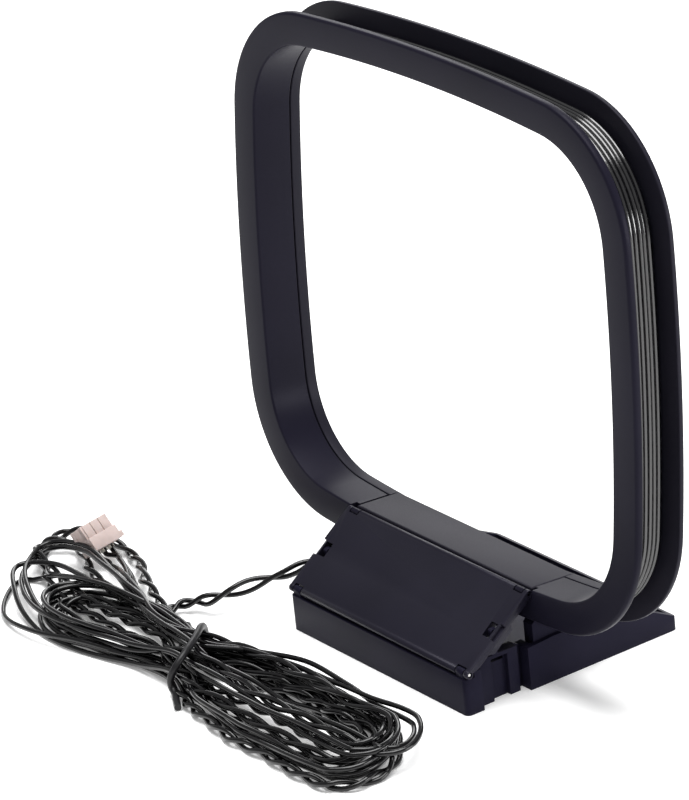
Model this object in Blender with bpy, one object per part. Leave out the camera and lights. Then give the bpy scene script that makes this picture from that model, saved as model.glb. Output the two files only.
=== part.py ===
"""AM loop antenna on a folding stand, standing ready for use.

Units are metres, +Z is up, X runs along the loop's width and Y from the front of the stand to the rear.
The stand is three plates joined by two hinges: base tray, slanted front panel and the wound loop.
The middle of the footprint is the origin, and the tray's underside is at z = 0.
"""
import math

import bmesh
import bpy
from mathutils import Matrix, Vector

MM = 0.001
GAP = 0.3 * MM

# ---- Loop: a rounded square with slightly bowed sides, wound in a channel that opens outwards
LOOP_HALF_WIDTH = 73.0 * MM
LOOP_HALF_HEIGHT = 62.5 * MM
LOOP_BOW_SIDE = 4.4 * MM
LOOP_BOW_TOP = 4.4 * MM
LOOP_CORNER = 29.6 * MM
OPENING_HALF_WIDTH = 64.9 * MM
OPENING_HALF_HEIGHT = 55.2 * MM
OPENING_BOW_SIDE = 3.5 * MM
OPENING_BOW_TOP = 4.1 * MM
OPENING_CORNER = 22.2 * MM
LOOP_DEPTH = 13.2 * MM
FRONT_FLANGE = 2.0 * MM
REAR_FLANGE = 1.3 * MM
WEB_LEVEL = 0.755
LOOP_LEAN = math.radians(3.4)
WINDING_TURNS = 7
WIRE_DIAMETER = 1.25 * MM

# ---- Base tray
BASE_WIDTH = 66.0 * MM
BASE_DEPTH = 59.4 * MM
BASE_WALL = 1.8 * MM
BASE_FLOOR = 1.6 * MM
BASE_CORNER = 1.2 * MM
FRONT_WALL_TOP = 8.7 * MM
FRONT_BLOCK_TOP = 10.1 * MM
RIM_TOP = 11.1 * MM
REAR_WALL_TOP = 10.8 * MM
REAR_EDGE_TOP = 3.2 * MM
POST_TOP = 15.3 * MM

# ---- Front panel, measured in the side view from the tray's front face
PANEL_WIDTH = 67.2 * MM
PANEL_THICKNESS = 1.8 * MM
PANEL_FOOT = (0.0 * MM, 10.1 * MM)
RIDGE = (19.5 * MM, 24.6 * MM)
LOOP_CENTRE_RISE = 53.6 * MM

# ---- Hinges: axes along X, as (distance from the tray's front face, height)
FRONT_AXIS = (1.2 * MM, 9.95 * MM)
FRONT_BARREL = 0.95 * MM
FRONT_BORE = 0.62 * MM
FRONT_PIN = 0.34 * MM
RIDGE_BARREL = 0.9 * MM
RIDGE_BORE = 0.56 * MM
RIDGE_PIN = 0.28 * MM

# ---- Lead, hank and plug
LEAD_DIAMETER = 2.5 * MM
TIE_DIAMETER = 1.7 * MM
PLUG_WIDTH = 9.8 * MM
PLUG_LENGTH = 6.9 * MM
PLUG_THICKNESS = 5.8 * MM
PLUG_PITCH = 2.5 * MM
HANK_HEIGHT = 7.5 * MM

HALF_BASE = BASE_WIDTH / 2
HALF_PANEL = PANEL_WIDTH / 2
MIDDLE = BASE_DEPTH / 2

for old in list(bpy.data.objects):
    bpy.data.objects.remove(old)

PARTS = bpy.data.collections.new("am_loop_antenna")
CUTTERS = bpy.data.collections.new("cutters")
bpy.context.scene.collection.children.link(PARTS)
bpy.context.scene.collection.children.link(CUTTERS)


def material(name, colour, roughness, metallic=0.0):
    """A Principled material of one colour."""
    made = bpy.data.materials.new(name)
    made.use_nodes = True
    shader = made.node_tree.nodes["Principled BSDF"]
    shader.inputs["Base Color"].default_value = (*colour, 1.0)
    shader.inputs["Roughness"].default_value = roughness
    shader.inputs["Metallic"].default_value = metallic
    made.diffuse_color = (*colour, 1.0)
    return made


def world(front, height, x=0.0):
    """A point given by its distance from the tray's front face and its height."""
    return Vector((x, front - MIDDLE, height))


def keep(mesh_builder, name, slot=None, cutter=False, smooth=False):
    """Turn a bmesh into an object of the parts, or into a hidden cutter."""
    bmesh.ops.recalc_face_normals(mesh_builder, faces=mesh_builder.faces)
    mesh = bpy.data.meshes.new(name)
    mesh_builder.to_mesh(mesh)
    mesh_builder.free()
    made = bpy.data.objects.new(name, mesh)
    (CUTTERS if cutter else PARTS).objects.link(made)
    if slot:
        mesh.materials.append(slot)
    if smooth:
        mesh.polygons.foreach_set("use_smooth", [True] * len(mesh.polygons))
    if cutter:
        made.hide_render = True
        made.display_type = "WIRE"
    return made


def prism(outline, x0, x1):
    """A bmesh whose side view (front distance, height) is extruded along X."""
    built = bmesh.new()
    left = [built.verts.new(world(y, z, x0)) for y, z in outline]
    right = [built.verts.new(world(y, z, x1)) for y, z in outline]
    built.faces.new(left)
    built.faces.new(reversed(right))
    for i in range(len(outline)):
        j = (i + 1) % len(outline)
        built.faces.new((left[i], right[i], right[j], left[j]))
    return built


def slab(outline, z0, z1):
    """A bmesh whose plan view (x, y) is extruded upwards."""
    built = bmesh.new()
    low = [built.verts.new((x, y, z0)) for x, y in outline]
    high = [built.verts.new((x, y, z1)) for x, y in outline]
    built.faces.new(reversed(low))
    built.faces.new(high)
    for i in range(len(outline)):
        j = (i + 1) % len(outline)
        built.faces.new((low[i], low[j], high[j], high[i]))
    return built


def block(x0, x1, y0, y1, z0, z1):
    """A box; y is measured from the tray's front face."""
    return prism(((y0, z0), (y0, z1), (y1, z1), (y1, z0)), x0, x1)


def disc(axis, radius, sides=16):
    """The side view of a round bar about a hinge axis."""
    turn = 2 * math.pi / sides
    return [
        (axis[0] + radius * math.cos(turn * (i + 0.5)), axis[1] + radius * math.sin(turn * (i + 0.5)))
        for i in range(sides)
    ]


def boolean(target, built, operation, name):
    """Apply one exact Boolean to the target at once."""
    other = keep(built, name, cutter=True)
    step = target.modifiers.new(name, "BOOLEAN")
    step.operation = operation
    step.solver = "EXACT"
    step.object = other
    bpy.context.view_layer.update()
    graph = bpy.context.evaluated_depsgraph_get()
    result = bpy.data.meshes.new_from_object(target.evaluated_get(graph))
    target.modifiers.clear()
    slots = list(target.data.materials)
    target.data = result
    if not result.materials:
        for slot in slots:
            result.materials.append(slot)
    bpy.data.objects.remove(other)
    return target


def set_origin(made, point):
    """Put the object's origin on a point without moving its surface."""
    made.data.transform(Matrix.Translation(-point))
    made.location = point


def both_sides(x0, x1):
    """A span along X and its mirror image."""
    return ((x0, x1), (-x1, -x0))


# ---- Colours
SATIN_BLACK = material("satin_black_plastic", (0.012, 0.012, 0.018), 0.42)
PANEL_BLACK = material("panel_black_plastic", (0.012, 0.012, 0.018), 0.4)
LOOP_BLACK = material("loop_black_plastic", (0.011, 0.011, 0.016), 0.38)
REAR_BLACK = material("rear_shell_black_plastic", (0.011, 0.011, 0.016), 0.38)
WINDING_BLACK = material("winding_insulation", (0.006, 0.006, 0.007), 0.22)
WINDING_END_BLACK = material("winding_end_insulation", (0.006, 0.006, 0.007), 0.22)
LEAD_BLACK = material("lead_insulation", (0.006, 0.006, 0.007), 0.25)
INNER_LEAD_BLACK = material("inner_lead_insulation", (0.006, 0.006, 0.007), 0.25)
HANK_BLACK = material("hank_insulation", (0.006, 0.006, 0.007), 0.25)
CORE_BLACK = material("core_insulation", (0.006, 0.006, 0.007), 0.25)
TIE_BLACK = material("tie_coating", (0.014, 0.014, 0.015), 0.5)
PIN_STEEL = material("hinge_pin_steel", (0.55, 0.55, 0.56), 0.3, 1.0)
RIDGE_STEEL = material("ridge_pin_steel", (0.55, 0.55, 0.56), 0.3, 1.0)
PLUG_CREAM = material("plug_nylon", (0.62, 0.52, 0.47), 0.5)
CONTACT_TIN = material("contact_tinned_brass", (0.7, 0.68, 0.62), 0.3, 1.0)

# ---- Directions of the panel in the side view: along its slope and out of its face
PANEL_RUN = RIDGE[0] - PANEL_FOOT[0]
PANEL_RISE = RIDGE[1] - PANEL_FOOT[1]
PANEL_LENGTH = math.hypot(PANEL_RUN, PANEL_RISE)
SLOPE = (PANEL_RUN / PANEL_LENGTH, PANEL_RISE / PANEL_LENGTH)
OUTWARD = (-SLOPE[1], SLOPE[0])


def on_panel(along, out):
    """A point of the side view given along the panel's slope and out of its outer face."""
    y = PANEL_FOOT[0] + along * SLOPE[0] + out * OUTWARD[0]
    z = PANEL_FOOT[1] + along * SLOPE[1] + out * OUTWARD[1]
    return (y, z)


RIDGE_AXIS = on_panel(PANEL_LENGTH - 1.1 * MM, -RIDGE_BARREL)

# ---- Directions of the loop: U up its plane and N through it, from the ridge
LOOP_UP = Vector((0.0, math.sin(LOOP_LEAN), math.cos(LOOP_LEAN)))
LOOP_BACK = Vector((0.0, math.cos(LOOP_LEAN), -math.sin(LOOP_LEAN)))


def on_loop(x, up, back):
    """A point of the loop: up is measured from the loop's centre, back from its front face."""
    start = world(RIDGE[0], RIDGE[1])
    return start + Vector((x, 0.0, 0.0)) + (LOOP_CENTRE_RISE + up) * LOOP_UP + back * LOOP_BACK


def arc(centre, radius, start, end, steps):
    """Points of an arc from one angle to another."""
    return [
        (centre[0] + radius * math.cos(start + (end - start) * i / steps),
         centre[1] + radius * math.sin(start + (end - start) * i / steps))
        for i in range(steps + 1)
    ]


def rounded_square(half_width, half_height, bow_side, bow_top, corner, steps=(3, 7, 4)):
    """The loop's outline: bowed sides joined by round corners, all tangent."""
    side_radius = (half_height ** 2 + bow_side ** 2) / (2 * bow_side)
    top_radius = (half_width ** 2 + bow_top ** 2) / (2 * bow_top)
    side_centre = (half_width - side_radius, 0.0)
    top_centre = (0.0, half_height - top_radius)
    reach_1 = side_radius - corner
    reach_2 = top_radius - corner
    dx = top_centre[0] - side_centre[0]
    dz = top_centre[1] - side_centre[1]
    apart = math.hypot(dx, dz)
    along = (reach_1 ** 2 - reach_2 ** 2 + apart ** 2) / (2 * apart)
    away = math.sqrt(reach_1 ** 2 - along ** 2)
    middle = (side_centre[0] + along * dx / apart, side_centre[1] + along * dz / apart)
    centre = (middle[0] + away * dz / apart, middle[1] - away * dx / apart)
    if centre[0] + centre[1] < middle[0] + middle[1]:
        centre = (middle[0] - away * dz / apart, middle[1] + away * dx / apart)
    turn_1 = math.atan2(centre[1] - side_centre[1], centre[0] - side_centre[0])
    turn_2 = math.atan2(centre[1] - top_centre[1], centre[0] - top_centre[0])
    quarter = arc(side_centre, side_radius, 0.0, turn_1, steps[0])[:-1]
    quarter += arc(centre, corner, turn_1, turn_2, steps[1])[:-1]
    quarter += arc(top_centre, top_radius, turn_2, math.pi / 2, steps[2])
    upper = quarter + [(-x, z) for x, z in reversed(quarter[:-1])]
    lower = [(x, -z) for x, z in reversed(upper[1:-1])]
    return upper + lower


def loop_outline(level):
    """The outline at a level of the flange: 0 at its outer edge, 1 at the opening."""
    outer = (LOOP_HALF_WIDTH, LOOP_HALF_HEIGHT, LOOP_BOW_SIDE, LOOP_BOW_TOP, LOOP_CORNER)
    inner = (OPENING_HALF_WIDTH, OPENING_HALF_HEIGHT, OPENING_BOW_SIDE, OPENING_BOW_TOP, OPENING_CORNER)
    return rounded_square(*[a + (b - a) * level for a, b in zip(outer, inner)])


def ring(section):
    """A closed ring round the loop from a cross-section of (level, back) corners."""
    built = bmesh.new()
    rows = []
    for level, back in section:
        rows.append([built.verts.new(on_loop(x, up, back)) for x, up in loop_outline(level)])
    count = len(rows[0])
    for i in range(len(rows)):
        first = rows[i]
        second = rows[(i + 1) % len(rows)]
        for j in range(count):
            k = (j + 1) % count
            built.faces.new((first[j], first[k], second[k], second[j]))
    return built


def loop_block(x0, x1, up0, up1, back0, back1):
    """A box lying along the loop's own directions; up is measured from the ridge."""
    rise = LOOP_CENTRE_RISE
    built = bmesh.new()
    corners = [
        built.verts.new(on_loop(x, up - rise, back))
        for x in (x0, x1) for up in (up0, up1) for back in (back0, back1)
    ]
    for face in ((0, 1, 3, 2), (4, 6, 7, 5), (0, 4, 5, 1), (2, 3, 7, 6), (0, 2, 6, 4), (1, 5, 7, 3)):
        built.faces.new([corners[i] for i in face])
    return built


# ---- Base tray: an open tray whose side walls fall towards the rear
profile = (
    (0.0, 0.0), (0.0, FRONT_WALL_TOP), (2.8 * MM, FRONT_WALL_TOP), (2.8 * MM, FRONT_BLOCK_TOP),
    (4.7 * MM, FRONT_BLOCK_TOP), (5.0 * MM, RIM_TOP), (16.2 * MM, RIM_TOP), (17.7 * MM, 10.3 * MM),
    (25.0 * MM, REAR_WALL_TOP), (44.0 * MM, REAR_WALL_TOP), (BASE_DEPTH, REAR_EDGE_TOP), (BASE_DEPTH, 0.0),
)
base = keep(prism(profile, -HALF_BASE, HALF_BASE), "base_tray", SATIN_BLACK)
plan = []
for cx, cy, start in ((1, 1, 0), (-1, 1, 1), (-1, -1, 2), (1, -1, 3)):
    corner = (cx * (HALF_BASE - BASE_CORNER), cy * (MIDDLE - BASE_CORNER))
    plan += arc(corner, BASE_CORNER, start * math.pi / 2, (start + 1) * math.pi / 2, 4)
boolean(base, slab(plan, -1 * MM, 20 * MM), "INTERSECT", "rounded_plan")
inner_front = HALF_BASE - 4.8 * MM
inner_rear = HALF_BASE - BASE_WALL
cavity = (
    (-inner_front, BASE_WALL - MIDDLE), (inner_front, BASE_WALL - MIDDLE),
    (inner_front, 19.5 * MM - MIDDLE), (inner_rear, 19.5 * MM - MIDDLE),
    (inner_rear, MIDDLE - BASE_WALL), (-inner_rear, MIDDLE - BASE_WALL),
    (-inner_rear, 19.5 * MM - MIDDLE), (-inner_front, 19.5 * MM - MIDDLE),
)
boolean(base, slab(cavity, BASE_FLOOR, 25 * MM), "DIFFERENCE", "tray_hollow")
for side, (x0, x1) in enumerate(both_sides(HALF_BASE - 1.8 * MM, HALF_BASE + 1 * MM)):
    boolean(base, block(x0, x1, 4.7 * MM, 16.2 * MM, -1 * MM, 20 * MM), "DIFFERENCE", f"side_recess_{side}")
for side, (x0, x1) in enumerate(both_sides(HALF_BASE - 3.0 * MM, HALF_BASE + 1 * MM)):
    boolean(base, block(x0, x1, 8.8 * MM, 13.3 * MM, -1 * MM, 10.2 * MM), "DIFFERENCE", f"finger_channel_{side}")
for side, (x0, x1) in enumerate(both_sides(HALF_BASE - 3.5 * MM, HALF_BASE + 1 * MM)):
    boolean(base, block(x0, x1, 16.1 * MM, 17.7 * MM, -1 * MM, 20 * MM), "DIFFERENCE", f"side_slit_{side}")
for side, (x0, x1) in enumerate(both_sides(HALF_BASE - 6.0 * MM, HALF_BASE - 2.5 * MM)):
    boolean(base, block(x0, x1, 9.2 * MM, 12.9 * MM, 8.8 * MM, 10.2 * MM), "DIFFERENCE", f"finger_slot_{side}")

# Cradle posts: the loop's rear flange rests on them
post = (
    (20.3 * MM, 1.0 * MM), (20.3 * MM, POST_TOP - 0.6 * MM), (20.9 * MM, POST_TOP),
    (35.8 * MM, POST_TOP), (36.6 * MM, POST_TOP - 0.8 * MM), (36.6 * MM, 1.0 * MM),
)
for side, (x0, x1) in enumerate(both_sides(HALF_BASE - 4.4 * MM, HALF_BASE - 1.2 * MM)):
    boolean(base, prism(post, x0, x1), "UNION", f"cradle_post_{side}")

# Snap fingers: they stand in the panel's windows
finger = ((9.4 * MM, 10.4 * MM), (9.4 * MM, 17.0 * MM), (9.8 * MM, 17.3 * MM), (10.9 * MM, 17.3 * MM), (10.9 * MM, 10.4 * MM))
barb = ((9.4 * MM, 16.0 * MM), (9.4 * MM, 17.0 * MM), (9.8 * MM, 17.3 * MM), (10.9 * MM, 17.3 * MM), (10.9 * MM, 16.0 * MM))
for side, (x0, x1) in enumerate(both_sides(HALF_BASE - 2.7 * MM, HALF_BASE - 1.8 * MM)):
    boolean(base, prism(finger, x0, x1), "UNION", f"snap_finger_{side}")
for side, (x0, x1) in enumerate(both_sides(HALF_BASE - 2.0 * MM, HALF_BASE - 1.4 * MM)):
    boolean(base, prism(barb, x0, x1), "UNION", f"snap_barb_{side}")

# Knuckles of the front hinge, near the two ends of the foot
KNUCKLE = (29.4 * MM, 32.0 * MM)
foot = ((0.4 * MM, 8.2 * MM), (0.4 * MM, FRONT_AXIS[1]), (1.7 * MM, FRONT_AXIS[1]), (1.7 * MM, 8.2 * MM))
for side, (x0, x1) in enumerate(both_sides(*KNUCKLE)):
    boolean(base, prism(foot, x0, x1), "UNION", f"knuckle_foot_{side}")
    boolean(base, prism(disc(FRONT_AXIS, FRONT_BARREL), x0, x1), "UNION", f"knuckle_{side}")
boolean(base, prism(disc(FRONT_AXIS, FRONT_BORE), -40 * MM, 40 * MM), "DIFFERENCE", "knuckle_bore")

# ---- Front panel: a thin plate with a round hinge bead at its foot and a smaller one under the ridge
t = PANEL_THICKNESS
face = [
    on_panel(0.9 * MM, 0.0), on_panel(PANEL_LENGTH - 1.1 * MM, 0.0),
    on_panel(PANEL_LENGTH - 1.1 * MM, -0.9 * MM), on_panel(PANEL_LENGTH - 2.9 * MM, -t),
    on_panel(3.4 * MM, -t), on_panel(0.9 * MM, -0.9 * MM),
]
panel = keep(prism(face, -HALF_PANEL, HALF_PANEL), "front_panel", PANEL_BLACK)
boolean(panel, prism(disc(FRONT_AXIS, FRONT_BARREL), -HALF_PANEL, HALF_PANEL), "UNION", "foot_bead")
boolean(panel, prism(disc(RIDGE_AXIS, RIDGE_BARREL), -HALF_PANEL, HALF_PANEL), "UNION", "ridge_bead")
lug = [on_panel(6.8 * MM, -0.8 * MM), on_panel(15.7 * MM, -0.8 * MM), on_panel(15.5 * MM, -t), on_panel(14.8 * MM, -3.1 * MM),
       on_panel(8.2 * MM, -3.1 * MM), on_panel(6.9 * MM, -t)]
for side, (x0, x1) in enumerate(both_sides(HALF_PANEL - 1.5 * MM, HALF_PANEL - 0.1 * MM)):
    boolean(panel, prism(lug, x0, x1), "UNION", f"side_lug_{side}")
window = [on_panel(10.1 * MM, 1 * MM), on_panel(13.8 * MM, 1 * MM), on_panel(13.8 * MM, -4 * MM), on_panel(10.1 * MM, -4 * MM)]
for side, (x0, x1) in enumerate(both_sides(HALF_PANEL - 3.8 * MM, HALF_PANEL - 1.5 * MM)):
    boolean(panel, prism(window, x0, x1), "DIFFERENCE", f"window_{side}")
notch = [on_panel(9.9 * MM, 1 * MM), on_panel(14.1 * MM, 1 * MM), on_panel(14.1 * MM, -0.9 * MM), on_panel(9.9 * MM, -0.9 * MM)]
for side, (x0, x1) in enumerate(both_sides(HALF_PANEL - 0.9 * MM, HALF_PANEL + 1 * MM)):
    boolean(panel, prism(notch, x0, x1), "DIFFERENCE", f"edge_notch_{side}")
for side, (x0, x1) in enumerate(both_sides(KNUCKLE[0] - GAP, KNUCKLE[1] + GAP)):
    boolean(panel, prism(disc(FRONT_AXIS, FRONT_BARREL + 0.35 * MM), x0, x1), "DIFFERENCE", f"foot_gap_{side}")
RIDGE_KNUCKLE = (29.4 * MM, 32.0 * MM)
for side, (x0, x1) in enumerate(both_sides(RIDGE_KNUCKLE[0] - GAP, RIDGE_KNUCKLE[1] + GAP)):
    boolean(panel, prism(disc(RIDGE_AXIS, RIDGE_BARREL + 0.35 * MM), x0, x1), "DIFFERENCE", f"ridge_gap_{side}")
boolean(panel, prism(disc(FRONT_AXIS, FRONT_BORE), -40 * MM, 40 * MM), "DIFFERENCE", "foot_bore")
boolean(panel, prism(disc(RIDGE_AXIS, RIDGE_BORE), -40 * MM, 40 * MM), "DIFFERENCE", "ridge_bore")
set_origin(panel, world(*FRONT_AXIS))

# ---- Hinge pins
front_pin = keep(prism(disc(FRONT_AXIS, FRONT_PIN, 12), -HALF_PANEL + 0.2 * MM, HALF_PANEL - 0.2 * MM), "front_hinge_pin", PIN_STEEL, smooth=False)
ridge_pin = keep(prism(disc(RIDGE_AXIS, RIDGE_PIN, 8), -HALF_PANEL + MM, HALF_PANEL - MM), "ridge_hinge_pin", RIDGE_STEEL)

# ---- Front shell of the loop: its wide flange and the web that carries the winding
web_end = LOOP_DEPTH - 3.1 * MM
front_section = (
    (0.075, 0.0), (0.0, 0.6 * MM), (0.0, 1.6 * MM), (0.05, FRONT_FLANGE), (WEB_LEVEL, FRONT_FLANGE),
    (WEB_LEVEL, web_end), (1.0, web_end), (1.0, 0.3 * MM), (0.96, 0.0),
)
front_shell = keep(ring(front_section), "loop_front_shell", LOOP_BLACK)
TONGUE_HALF = 32.6 * MM
TONGUE_TOP = -0.55 * MM
TONGUE_THICKNESS = 1.7 * MM
chamber = TONGUE_HALF + GAP
ridge_room = max(chamber, HALF_PANEL + 0.4 * MM)
boolean(front_shell, loop_block(-ridge_room, ridge_room, -2.75 * MM, 6 * MM, -1 * MM, FRONT_FLANGE + 0.1 * MM), "DIFFERENCE", "ridge_clearance")
boolean(front_shell, loop_block(-chamber, chamber, -5.5 * MM, 6 * MM, FRONT_FLANGE + 0.05 * MM, LOOP_DEPTH), "DIFFERENCE", "terminal_chamber")
arm = [(RIDGE_AXIS[0] + 0.2 * MM, RIDGE_AXIS[1]), (RIDGE_AXIS[0] + 0.75 * MM, RIDGE_AXIS[1] + 0.2 * MM),
       (RIDGE_AXIS[0] + 1.0 * MM, RIDGE_AXIS[1] - 2.4 * MM), (RIDGE_AXIS[0] + 0.3 * MM, RIDGE_AXIS[1] - 2.4 * MM)]
for side, (x0, x1) in enumerate(both_sides(*RIDGE_KNUCKLE)):
    boolean(front_shell, prism(arm, x0, x1), "UNION", f"ridge_arm_{side}")
    boolean(front_shell, prism(disc(RIDGE_AXIS, RIDGE_BARREL), x0, x1), "UNION", f"ridge_knuckle_{side}")
boolean(front_shell, prism(disc(RIDGE_AXIS, RIDGE_BORE), -40 * MM, 40 * MM), "DIFFERENCE", "ridge_knuckle_bore")
set_origin(front_shell, world(*RIDGE_AXIS))

# ---- Rear shell: the thin rear flange, its lip in the opening, and the tongue that covers the terminal chamber
flange_start = LOOP_DEPTH - REAR_FLANGE
rear_section = (
    (0.03, flange_start), (0.0, flange_start + 0.3 * MM), (0.0, LOOP_DEPTH - 0.3 * MM), (0.04, LOOP_DEPTH),
    (0.95, LOOP_DEPTH), (1.0, LOOP_DEPTH - 0.4 * MM), (1.0, web_end + GAP), (0.8, web_end + GAP), (0.8, flange_start),
)
rear_shell = keep(ring(rear_section), "loop_rear_shell", REAR_BLACK)
tongue_low = TONGUE_TOP - TONGUE_THICKNESS
boolean(rear_shell, loop_block(-TONGUE_HALF, TONGUE_HALF, tongue_low, TONGUE_TOP, 1.1 * MM, LOOP_DEPTH - 0.2 * MM), "UNION", "saddle_tongue")
set_origin(rear_shell, world(*RIDGE_AXIS))

# ---- Winding: turns of insulated wire side by side on the web
pitch = (LOOP_DEPTH - REAR_FLANGE - FRONT_FLANGE - 2 * GAP) / WINDING_TURNS
flange_width = LOOP_HALF_WIDTH - OPENING_HALF_WIDTH
winding_low = WEB_LEVEL - 0.3 * MM / flange_width
winding_high = winding_low - WIRE_DIAMETER / flange_width
winding_start = FRONT_FLANGE + GAP
winding_section = [(winding_low, winding_start)]
for turn in range(WINDING_TURNS):
    for fraction, height in ((0.0, 0.35), (0.2, 0.85), (0.5, 1.0), (0.8, 0.85)):
        level = winding_low + (winding_high - winding_low) * height
        winding_section.append((level, winding_start + pitch * (turn + fraction)))
winding_end = winding_start + pitch * WINDING_TURNS
winding_section.append((winding_low + (winding_high - winding_low) * 0.35, winding_end))
winding_section.append((winding_low, winding_end))
winding = keep(ring(winding_section), "loop_winding", WINDING_BLACK, smooth=True)
set_origin(winding, world(*RIDGE_AXIS))


def tube(name, points, radius, slot, resolution=2):
    """A round wire along straight steps between close points."""
    curve = bpy.data.curves.new(name, "CURVE")
    curve.dimensions = "3D"
    curve.bevel_depth = radius
    curve.bevel_resolution = resolution
    curve.use_fill_caps = True
    spline = curve.splines.new("POLY")
    spline.points.add(len(points) - 1)
    for target, point in zip(spline.points, points):
        target.co = (*point, 1.0)
    made = bpy.data.objects.new(name, curve)
    PARTS.objects.link(made)
    curve.materials.append(slot)
    return made


def smooth_path(corners, step):
    """Close points along a smooth curve through hand-chosen corners."""
    ends = [corners[0] * 2 - corners[1]] + list(corners) + [corners[-1] * 2 - corners[-2]]
    dense = []
    for i in range(1, len(ends) - 2):
        a, b, c, d = ends[i - 1:i + 3]
        for k in range(24):
            f = k / 24
            dense.append(0.5 * (2 * b + (c - a) * f + (2 * a - 5 * b + 4 * c - d) * f ** 2
                                + (3 * b - a - 3 * c + d) * f ** 3))
    dense.append(Vector(corners[-1]))
    total = sum((q - p).length for p, q in zip(dense, dense[1:]))
    count = max(2, round(total / step))
    made = [dense[0]]
    walked = 0.0
    for p, q in zip(dense, dense[1:]):
        length = (q - p).length
        while len(made) < count and walked + length >= total * len(made) / count:
            made.append(p.lerp(q, (total * len(made) / count - walked) / length))
        walked += length
    made.append(dense[-1])
    return made


# ---- Ends of the winding: they drop from its first and last turn towards the inner lead
end_x = (-14.6 * MM, -12.4 * MM)
end_back = (winding_start + pitch * 3.5, winding_start + pitch * 5.5)
for number, (x, back) in enumerate(zip(end_x, end_back), 1):
    top = on_loop(x, -LOOP_HALF_HEIGHT + 3.75 * MM, back)
    low = on_loop(x, -LOOP_HALF_HEIGHT + 0.2 * MM, back)
    made = tube(f"winding_end_{number}", [top, top.lerp(low, 0.5), low], WIRE_DIAMETER / 2, WINDING_END_BLACK, 1)

# ---- Lead inside the stand, from below the winding to the top of the left wall, behind the panel's lug
inner_corners = (
    world(27.2 * MM, 13.9 * MM, -13.5 * MM), world(24.4 * MM, 12.6 * MM, -16.5 * MM),
    world(18.8 * MM, 12.2 * MM, -22.0 * MM), world(15.6 * MM, 12.6 * MM, -28.0 * MM),
    world(14.7 * MM, 12.8 * MM, -33.6 * MM),
)
tube("lead_inner", smooth_path(inner_corners, 2.4 * MM), LEAD_DIAMETER / 2, INNER_LEAD_BLACK)

# ---- Free lead: from the wall down to the hank on the table
lead_corners = (
    world(14.6 * MM, 12.8 * MM, -34.1 * MM), world(14.4 * MM, 12.75 * MM, -35.3 * MM), world(10.8 * MM, 11.4 * MM, -38.4 * MM),
    world(5.6 * MM, 8.8 * MM, -42.2 * MM), world(0.8 * MM, 6.8 * MM, -47.4 * MM),
    world(-4.2 * MM, 5.0 * MM, -50.7 * MM), world(-9.2 * MM, 3.6 * MM, -53.7 * MM),
    world(-11.8 * MM, 2.8 * MM, -56.6 * MM), world(-14.2 * MM, 2.5 * MM, -56.2 * MM),
    world(-16.2 * MM, 2.6 * MM, -53.6 * MM), world(-17.9 * MM, 3.0 * MM, -51.6 * MM),
)
tube("lead_cord", smooth_path(lead_corners, 2.2 * MM), LEAD_DIAMETER / 2, LEAD_BLACK)

# ---- Hank: the outer shape of the coiled lead, with a waist where the tie holds it
hank_outline = (
    (-110, -56), (-108, -50), (-101, -47.2), (-92, -47.4), (-82, -48.4), (-70, -48.4), (-58, -48.3), (-47, -49.3),
    (-38, -50.6), (-27, -48.6), (-12, -45.4), (3, -43.4), (17, -43.6), (29, -46.6), (38.5, -52), (44.5, -59),
    (46, -65.5), (43, -71), (35, -74.2), (22, -75.6), (6, -75.4), (-8, -73.6), (-20, -69.4), (-30, -66.4),
    (-42, -67.2), (-56, -71), (-70, -74.2), (-82, -74.4), (-94, -70.4), (-104, -64),
)
hank_levels = ((0.05 * MM, 1.2), (1.4 * MM, 0.0), (HANK_HEIGHT - 2.2 * MM, 0.0), (HANK_HEIGHT - 0.7 * MM, 0.7), (HANK_HEIGHT, 2.2))
hank = bmesh.new()
hank_rows = []
for height, inset in hank_levels:
    row = []
    for i, (x, y) in enumerate(hank_outline):
        before = Vector(hank_outline[i - 1])
        after = Vector(hank_outline[(i + 1) % len(hank_outline)])
        along = (after - before).normalized()
        row.append(hank.verts.new(((x + along.y * inset) * MM, (y - along.x * inset) * MM, height)))
    hank_rows.append(row)
for low, high in zip(hank_rows, hank_rows[1:]):
    for i in range(len(low)):
        j = (i + 1) % len(low)
        hank.faces.new((low[i], high[i], high[j], low[j]))
hank.faces.new(hank_rows[0])
hank.faces.new(reversed(hank_rows[-1]))
keep(hank, "lead_hank", HANK_BLACK)

# ---- Tie: a coated wire bent round the waist, its two ends crossed at one side
TIE_X = -31.0 * MM
tie_r = TIE_DIAMETER / 2
tie_corners = (
    Vector((TIE_X + 3.2 * MM, -72.0 * MM, tie_r + 0.1 * MM)), Vector((TIE_X + 0.2 * MM, -70.0 * MM, 1.2 * MM)),
    Vector((TIE_X - 0.6 * MM, -68.4 * MM, 2.8 * MM)), Vector((TIE_X - 0.6 * MM, -67.9 * MM, 5.0 * MM)),
    Vector((TIE_X - 0.4 * MM, -67.0 * MM, 7.9 * MM)), Vector((TIE_X, -64.0 * MM, 8.9 * MM)),
    Vector((TIE_X, -58.0 * MM, 8.9 * MM)), Vector((TIE_X, -51.6 * MM, 8.9 * MM)),
    Vector((TIE_X + 0.3 * MM, -48.6 * MM, 7.9 * MM)), Vector((TIE_X + 0.5 * MM, -47.6 * MM, 5.0 * MM)),
    Vector((TIE_X + 0.6 * MM, -47.5 * MM, 1.2 * MM)),
)
tube("cord_tie", smooth_path(tie_corners, 1.7 * MM), tie_r, TIE_BLACK, 1)

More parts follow.
